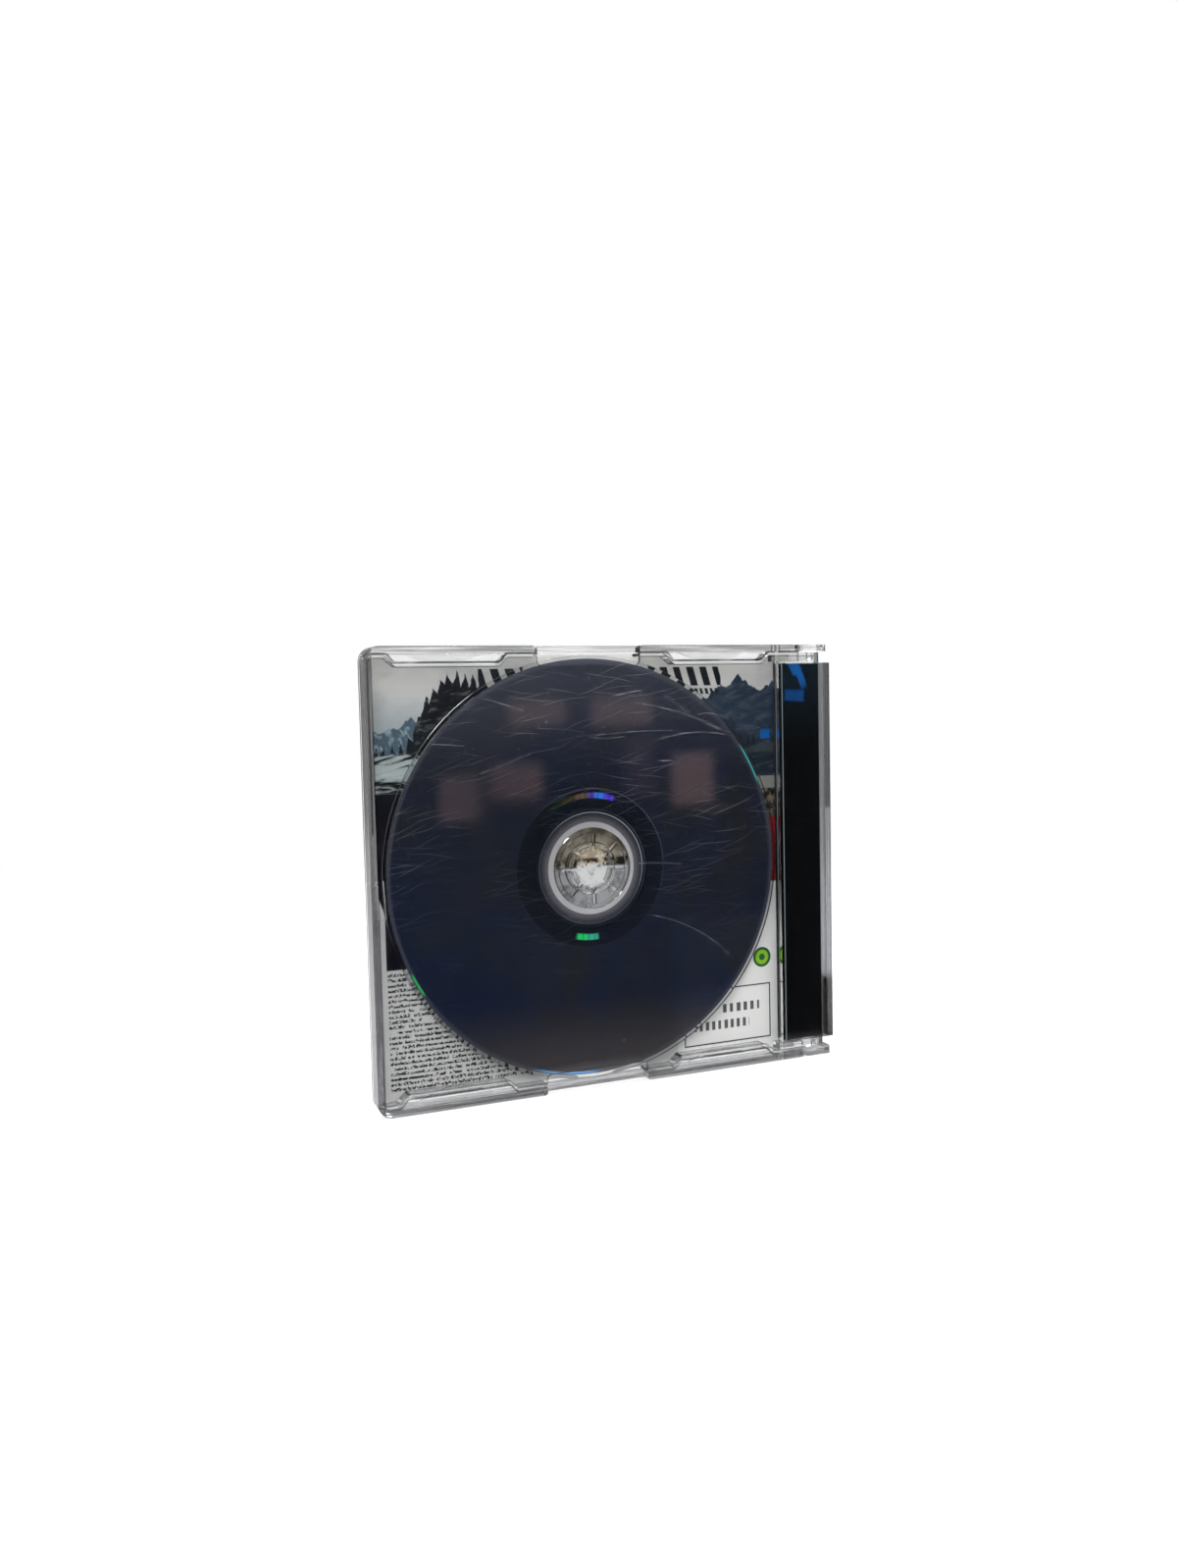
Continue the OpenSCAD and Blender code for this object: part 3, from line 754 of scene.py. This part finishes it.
class CASE_OT_disc(bpy.types.Operator):
    """Build the disc: dark recorded layer, clear middle and clear rim"""

    bl_idname = "disc_case.disc"
    bl_label = "Build disc"

    def execute(self, context):
        look = settings()[1]
        gap = 0.01 * MM
        edge = look.rounding
        low, high = STACK_RING - STACK_RING_HALF, STACK_RING + STACK_RING_HALF
        foil = ring_piece("recorded_layer", (
            (look.clear_to, look.foil_to, DATA_Y, LABEL_Y, gap),
            (low, high, DISC_LOW.y, DATA_Y + edge, edge * 0.7)), foil_material())
        clear = ring_piece("disc_clear", (
            (HOLE_RADIUS, look.clear_to - gap, DATA_Y, LABEL_Y, edge),
            (look.foil_to + gap, DISC_RADIUS, DATA_Y, LABEL_Y, edge)), disc_clear_material())
        soften(foil, 30)
        soften(clear, 30)
        for piece in (foil, clear):
            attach(piece, "disc")
            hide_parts("game_disc")
        return {"FINISHED"}


def below(net, z, top, soft=0.2):
    """Everything under a line at height top."""
    return net.fall(net.minus(z, top), -soft, soft)


def skyline(net, x, base, rise, scale, offset, detail=4.0):
    """Height of a ridge that a noise along x draws."""
    line = net.vector(net.plus(x, offset))
    return net.math("MULTIPLY_ADD", net.noise(line, scale, detail, 0.55), rise, base)


def box_mask(net, x, z, left, right, low, high, soft=0.08):
    """Upright rectangle in the elevation."""
    return net.times(net.band(x, left, right, soft), net.band(z, low, high, soft))


def small_print(net, x, z, left, right, low, high, pitch):
    """Rows of broken marks in the rhythm of small type."""
    row = net.math("DIVIDE", net.minus(z, low), pitch)
    number = net.math("FLOOR", row)
    run = net.math("MULTIPLY_ADD", number, 17.3, x)
    words = net.noise(net.vector(run, 0.0, number), 0.42, 1.0, 0.5)
    stems = net.noise(net.vector(run, 0.0, net.times(z, 0.7)), 1.9, 1.0, 0.5)
    tall = net.noise(net.vector(run, 7.0, number), 1.4, 0.0)
    top = net.step(tall, 0.50, 0.62, 0.66, 0.88)
    height = net.math("FRACT", row)
    in_row = net.times(net.step(height, 0.16, 0.26), below(net, height, top, 0.06))
    reach = net.noise(net.vector(0.0, 0.0, net.times(number, 3.17)), 1.0, 0.0)
    reach = net.math("MULTIPLY_ADD", reach, 16.0, right - 11.0)
    line = net.times(in_row, net.step(words, 0.35, 0.38))
    line = net.times(line, net.step(stems, 0.42, 0.50, 0.10, 1.0))
    line = net.times(line, below(net, x, reach))
    return net.times(line, box_mask(net, x, z, left, right, low, high))


def bars(net, x, z, ends, low, high, pitch, lean):
    """Row of dark bars of uneven width, leaning a little."""
    along = net.math("DIVIDE", net.math("MULTIPLY_ADD", z, lean, x), pitch)
    number = net.math("FLOOR", along)
    luck = net.noise(net.vector(net.times(number, 5.71)), 1.0, 0.0)
    width = net.math("MULTIPLY_ADD", luck, 0.5, 0.42)
    share = net.math("FRACT", along)
    beat = net.times(net.step(share, 0.09, 0.13), below(net, share, width, 0.02))
    return net.times(beat, box_mask(net, x, z, *ends, low, high, 0.1))


def view_print(net, place, x, z, ink):
    """Upper print: cream sky, far peaks, a wooded headland, hills at the right and rough water."""
    cloud = net.noise(net.stretch(place, 0.2, 0.6, 1.0), 0.09, 4.0, 0.6)
    sky = net.mix(net.step(z, 98.0, 116.0), (0.33, 0.42, 0.47, 1), rgb(ink.sky))
    sky = net.mix(net.step(cloud, 0.42, 0.70, 0.0, 0.55), sky, (0.34, 0.35, 0.36, 1))
    peaks = skyline(net, x, 93.0, 20.0, 0.09, 31.0)
    snow = net.noise(net.stretch(place, 0.5, 1.0, 0.6), 0.5, 4.0, 0.65)
    range_tone = net.mix(net.step(snow, 0.50, 0.62), (0.075, 0.12, 0.16, 1), (0.26, 0.34, 0.39, 1))
    view = net.mix(below(net, z, peaks), sky, range_tone)
    # Hills rise towards the hinge
    rise = net.step(x, 8.0, 40.0, 0.0, 20.0)
    hills = net.plus(rise, skyline(net, x, 84.0, 20.0, 0.11, 9.0, 5.0))
    folds = net.noise(net.stretch(place, 0.15, 0.35, 1.0), 0.55, 5.0, 0.7)
    slope = net.mix(net.step(folds, 0.42, 0.66), rgb(ink.slate), (0.055, 0.075, 0.105, 1))
    slope = net.mix(net.step(z, 104.0, 90.0), slope, (0.010, 0.019, 0.032, 1))
    view = net.mix(below(net, z, hills), view, slope)
    # Headland: rock with spiky trees
    spikes = net.math("PINGPONG", net.math("MULTIPLY_ADD", net.noise(place, 0.35, 1.0), 1.6, x), 1.15)
    tufts = net.times(spikes, net.times(net.noise(place, 0.12, 1.0), -7.5))
    rock = net.step(net.gap(x, -44.0), 3.0, 18.0, 19.0, 0.0)
    crest = net.plus(net.plus(tufts, rock), skyline(net, x, 94.5, 9.0, 0.22, 61.0))
    bark = net.mix(net.step(folds, 0.52, 0.62), rgb(ink.night), (0.085, 0.090, 0.090, 1))
    view = net.mix(below(net, z, crest, 0.12), view, bark)
    # Water with long crests and dark troughs
    swell = net.noise(net.stretch(place, 0.16, 0.13, 0.7), 0.42, 4.0, 0.58, 0.8)
    water = net.mix(net.step(swell, 0.45, 0.55), (0.006, 0.010, 0.011, 1), (0.42, 0.48, 0.48, 1))
    glare = net.noise(net.stretch(place, 0.10, 0.25, 2.2), 0.7, 3.0, 0.6)
    water = net.mix(net.step(glare, 0.56, 0.66, 0.0, 0.7), water, (0.50, 0.55, 0.54, 1))
    water = net.mix(net.step(x, 0.0, 24.0, 0.0, 0.93), water, (0.012, 0.021, 0.034, 1))
    shore = skyline(net, x, 95.0, 2.2, 0.3, 5.0)
    return net.mix(below(net, z, shore, 0.15), view, water)


def inner_page(net, place, x, z, ink):
    """Card's inner print: a view above, a dark band, and a pale page of small print."""
    view = view_print(net, place, x, z, ink)
    blot = net.noise(place, 0.12, 3.0)
    band = net.mix(net.step(blot, 0.4, 0.7), (0.008, 0.008, 0.015, 1), (0.022, 0.020, 0.030, 1))
    page = net.mix(net.band(z, 38.5, 86.0, 0.05), rgb(ink.paper), band)
    page = net.mix(net.step(z, 85.9, 86.1), page, view)
    margin_end = net.step(z, 62.5, 52.0, -69.0, -66.4)
    margin = net.times(below(net, x, margin_end, 0.05), net.band(z, 38.0, 62.5, 0.05))
    page = net.mix(margin, page, rgb(ink.paper))
    # Right of the disc: a pale rule, a mottled brown field and a red one, over bare paper painted lighter
    # than the page elsewhere
    right = net.step(x, 20.0, 20.3)
    mottle = net.step(net.noise(place, 0.5, 4.0, 0.7), 0.42, 0.62)
    brown = net.mix(mottle, (0.011, 0.009, 0.008, 1), (0.19, 0.16, 0.12, 1))
    # Painted light: this bare paper is lighter than the rest of the page
    painted_light = (0.78, 0.775, 0.765, 1)
    rule = (0.24, 0.24, 0.225, 1)
    fields = (
        (-1.0, 54.0, painted_light), (54.0, 73.5, rgb(ink.red)), (73.5, 82.3, brown), (82.3, 86.0, rule))
    for low, high, tone in fields:
        page = net.mix(net.times(right, net.band(z, low, high, 0.05)), page, tone)
    return page


def hub_print(net, place, x, z):
    """What shows through the hub: a warm mottled field over a pale one, with dark marks between them."""
    mottle = net.noise(place, 0.30, 4.0, 0.65)
    warm = net.mix(net.step(mottle, 0.40, 0.62), (0.68, 0.61, 0.48, 1), (0.34, 0.28, 0.20, 1))
    pale = net.mix(net.step(mottle, 0.46, 0.66), (0.66, 0.66, 0.66, 1), (0.26, 0.26, 0.27, 1))
    middle = net.mix(net.step(z, 62.8, 63.4), pale, warm)
    broken = net.step(net.noise(place, 0.5, 3.0), 0.44, 0.54)
    marks = net.times(net.band(z, 62.4, 64.9, 0.4), broken)
    return net.mix(marks, middle, (0.025, 0.02, 0.018, 1))


def page_marks(net, x, z, page):
    """Small print, framed panel, round dot and bars over the page."""
    soot = (0.030, 0.030, 0.033, 1)
    page = net.mix(small_print(net, x, z, -66.2, -21.0, 5.2, 37.6, 1.42), page, soot)
    outside = box_mask(net, x, z, 22.5, 51.9, 6.3, 23.0, 0.04)
    frame_line = net.minus(outside, box_mask(net, x, z, 22.9, 51.5, 6.7, 22.6, 0.04))
    page = net.mix(frame_line, page, soot)
    for ends, low, high, pitch, lean, tone in BAR_ROWS:
        page = net.mix(bars(net, x, z, ends, low, high, pitch, lean), page, tone)
    away = net.length(net.minus(x, 49.2), net.minus(z, 31.0))
    page = net.mix(below(net, away, 3.05, 0.1), page, (0.014, 0.115, 0.028, 1))
    return net.mix(net.band(away, 1.0, 2.2, 0.1), page, (0.26, 0.50, 0.03, 1))


def cover_print(net, x, z, ink):
    """Outer page: a pale disc of sun over dark hills and a rule."""
    hills = below(net, z, skyline(net, x, 24.0, 42.0, 0.045, 11.0))
    cover = net.mix(net.step(z, 20.0, 105.0), (0.012, 0.022, 0.035, 1), (0.10, 0.16, 0.20, 1))
    sun = net.length(net.plus(x, 10.0), net.minus(z, 74.0))
    cover = net.mix(below(net, sun, 22.0), cover, (0.55, 0.50, 0.40, 1))
    cover = net.mix(hills, cover, rgb(ink.night))
    return net.mix(net.band(z, 10.0, 12.0, 0.1), cover, rgb(ink.paper))


def card_material():
    """Printed card: inner page, black flap and spine, and a plain outer page."""
    ink = settings()[2]
    material, net, shader = new_material("printed_card")
    place, x, y, z = net.place()
    page = inner_page(net, place, x, z, ink)
    hub = box_mask(net, x, z, -24.0, 9.0, 46.0, 79.0)
    page = net.mix(hub, page, hub_print(net, place, x, z))
    page = page_marks(net, x, z, page)
    worn_pen = net.step(net.noise(place, 0.6, 3.0, 0.6), 0.56, 0.74, 1.0, 0.2)
    pen = net.times(strokes(net, place, PAGE_STROKES), net.times(worn_pen, below(net, x, 53.0, 0.1)))
    edge = below(net, from_long_edge(net, z), net.minus(wall_path(net, x), 0.2), 0.15)
    page = net.mix(edge, page, (0.80, 0.80, 0.80, 1))
    black = net.times(net.step(x, 54.3, 54.5), net.band(z, 5.5, 119.6, 0.1))
    page = net.mix(black, page, rgb(ink.flap))
    page = net.mix(pen, page, rgb(ink.pen))
    # Flap and spine are black, a little bluer above, with worn marker strokes near the flap's top
    flap = net.mix(net.step(z, 92.0, 122.0), rgb(ink.flap), (0.007, 0.015, 0.024, 1))
    faded = net.mix(net.step(z, 111.0, 116.0), (0.004, 0.055, 0.20, 1), rgb(ink.pen))
    flap = net.mix(net.times(strokes(net, place, FLAP_STROKES), worn_pen), flap, faded)
    page = net.mix(net.fall(y, 1.2, 1.5), page, flap)
    outside = net.step(y, CARD_FRONT_Y - 0.14, CARD_FRONT_Y - 0.11)
    cover = net.times(outside, net.fall(x, 66.9, 67.1))
    page = net.mix(cover, page, cover_print(net, x, z, ink))
    fibre = net.noise(place, 3.0, 3.0, 0.6)
    net.put(shader.inputs["Base Color"], page)
    net.put(shader.inputs["Roughness"], net.step(fibre, 0.2, 0.8, 0.30, 0.42))
    shader.inputs["Specular IOR Level"].default_value = 0.15
    bump = net.add("ShaderNodeBump", {"Strength": 0.15, "Distance": 0.02 * MM, "Height": fibre})
    net.put(shader.inputs["Normal"], bump.outputs[0])
    return material


class CASE_OT_card(bpy.types.Operator):
    """Print the folded card"""

    bl_idname = "disc_case.card"
    bl_label = "Print card"

    def execute(self, context):
        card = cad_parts["inlay_card"]
        card.data.materials.clear()
        card.data.materials.append(card_material())
        return {"FINISHED"}


def area_lamp(name, at, aim, size, power):
    """Round lamp at one point, aimed at another."""
    data = bpy.data.lights.new(name, "AREA")
    data.shape = "DISK"
    data.size = size
    data.energy = power
    lamp = bpy.data.objects.new(name, data)
    lamp.location = at
    lamp.rotation_mode = "QUATERNION"
    lamp.rotation_quaternion = (Vector(aim) - Vector(at)).to_track_quat("-Z", "Y")
    bpy.context.scene.collection.objects.link(lamp)
    return lamp


def seen_rays(net):
    """Masks for rays that look at the room, and for those among them that a surface has mirrored."""
    path = net.add("ShaderNodeLightPath").outputs
    bounced = net.most(path["Is Glossy Ray"], path["Is Transmission Ray"])
    seen = net.most(path["Is Camera Ray"], bounced)
    mirrored = net.times(seen, net.math("GREATER_THAN", path["Glossy Depth"], 0.5))
    return seen, mirrored


def soft_panels(net, parts):
    """Strength of the soft panels in the direction given by its three parts."""
    back = net.times(net.math("MINIMUM", parts[1], -0.1), -1.0)
    across, up = net.math("DIVIDE", parts[0], back), net.math("DIVIDE", parts[2], back)
    total = 0.0
    for left, right, low, high, strength in PANELS:
        panel = box_mask(net, across, up, left, right, low, high, 0.007)
        total = net.most(total, net.times(panel, strength))
    return total


def studio_world(studio):
    """Pale room, white where it is looked at; mirrored rays find its near side dim."""
    world = bpy.data.worlds.new("pale_room")
    bpy.context.scene.world = world
    world.use_nodes = True
    net = Net(world.node_tree)
    background = world.node_tree.nodes["Background"]
    seen, mirrored = seen_rays(net)
    look = net.add("ShaderNodeTexCoord").outputs["Generated"]
    parts = net.add("ShaderNodeSeparateXYZ", {0: look}).outputs
    tone = net.step(parts[1], -0.6, 0.7, 0.35, studio.far_side)
    tone = net.plus(tone, net.step(parts[2], 0.35, 0.9, 0.0, 0.2))
    aims = {0: look, 1: NEAR_SIDE_AT}
    facing = net.add("ShaderNodeVectorMath", aims, operation="DOT_PRODUCT").outputs["Value"]
    dim = net.step(facing, 0.70, 0.88)
    tone = net.plus(net.times(tone, net.minus(1.0, dim)), net.times(dim, studio.near_side))
    tone = net.mix(soft_panels(net, parts), net.vector(tone, tone, tone), (1.0, 0.66, 0.62, 1))
    colour = net.mix(seen, (0.42, 0.42, 0.43, 1), (1, 1, 1, 1))
    colour = net.mix(mirrored, colour, tone)
    net.put(background.inputs["Color"], colour)
    background.inputs["Strength"].default_value = 1.0


def studio_floor(studio):
    """Pale floor that runs out to white, and is dim to mirrored rays in front of the case."""
    reach = 0.75
    mesh = bpy.data.meshes.new("floor")
    corners = [(-reach, -reach, 0), (reach, -reach, 0), (reach, reach, 0), (-reach, reach, 0)]
    mesh.from_pydata(corners, [], [(0, 1, 2, 3)])
    floor = bpy.data.objects.new("floor", mesh)
    bpy.context.scene.collection.objects.link(floor)
    material, net, shader = new_material("pale_floor")
    shader.inputs["Base Color"].default_value = rgb(studio.floor)
    shader.inputs["Roughness"].default_value = 0.8
    shader.inputs["Specular IOR Level"].default_value = 0.1
    point = net.add("ShaderNodeTexCoord").outputs["Object"]
    away = net.add("ShaderNodeVectorMath", {0: point}, operation="LENGTH").outputs["Value"]
    far = net.step(away, 0.12, 0.7)
    seen, mirrored = seen_rays(net)
    glow = net.add("ShaderNodeEmission", {"Color": (1, 1, 1, 1), "Strength": 1.0})
    faded = {0: net.times(far, seen), 1: shader.outputs[0], 2: glow.outputs[0]}
    joined = net.add("ShaderNodeMixShader", faded)
    depth = net.add("ShaderNodeSeparateXYZ", {0: point}).outputs[1]
    near = net.times(net.fall(depth, -0.03, -0.004), mirrored)
    dim = net.add("ShaderNodeEmission", {"Color": (1, 1, 1, 1), "Strength": studio.near_side})
    joined = net.add("ShaderNodeMixShader", {0: near, 1: joined.outputs[0], 2: dim.outputs[0]})
    net.put(material.node_tree.nodes["Material Output"].inputs["Surface"], joined.outputs[0])
    mesh.materials.append(material)


class CASE_OT_studio(bpy.types.Operator):
    """Set up the camera, lamps, floor and background"""

    bl_idname = "disc_case.studio"
    bl_label = "Set up studio"

    def execute(self, context):
        studio = settings()[3]
        data = bpy.data.cameras.new("camera")
        data.sensor_width = SENSOR_MM
        data.lens = studio.focal_px * SENSOR_MM / PHOTO_HEIGHT
        data.clip_start, data.clip_end = 0.01, 50
        camera = bpy.data.objects.new("camera", data)
        camera.location = studio.camera_at
        look = Vector(studio.camera_look).normalized()
        camera.rotation_mode = "QUATERNION"
        camera.rotation_quaternion = Quaternion(look, studio.camera_roll) @ look.to_track_quat("-Z", "Y")
        context.scene.collection.objects.link(camera)
        context.scene.camera = camera
        studio_floor(studio)
        studio_world(studio)
        area_lamp("key", (-0.55, -0.75, 1.05), (0, 0, 0.06), 0.5, 13.0)
        area_lamp("back", (0.45, 0.85, 0.75), (0, 0, 0.06), 0.45, 9.0)
        area_lamp("top", (0.1, -0.05, 1.2), (0, 0, 0.0), 0.7, 9.0)
        context.scene.view_settings.view_transform = "Standard"
        return {"FINISHED"}


OPERATORS = (CASE_OT_studio, CASE_OT_tray, CASE_OT_lid, CASE_OT_disc, CASE_OT_card)


class CASE_PT_panel(bpy.types.Panel):
    """Lists the steps that dress the disc case"""

    bl_label = "Disc case"
    bl_idname = "CASE_PT_panel"
    bl_space_type = "VIEW_3D"
    bl_region_type = "UI"
    bl_category = "Disc case"

    def draw(self, context):
        for operator in OPERATORS:
            self.layout.operator(operator.bl_idname)


GROUPS = {
    "disc_case": CaseSettings, "disc_look": DiscSettings,
    "card_print": CardSettings, "case_studio": StudioSettings}
CLASSES = (*GROUPS.values(), *OPERATORS, CASE_PT_panel)


def register():
    for cls in CLASSES:
        bpy.utils.register_class(cls)
    for name, group in GROUPS.items():
        setattr(bpy.types.Scene, name, PointerProperty(type=group))


def unregister():
    for name in GROUPS:
        delattr(bpy.types.Scene, name)
    for cls in reversed(CLASSES):
        bpy.utils.unregister_class(cls)


def main():
    register()
    for operator in OPERATORS:
        area, name = operator.bl_idname.split(".")
        getattr(getattr(bpy.ops, area), name)()


if __name__ == "__main__":
    main()
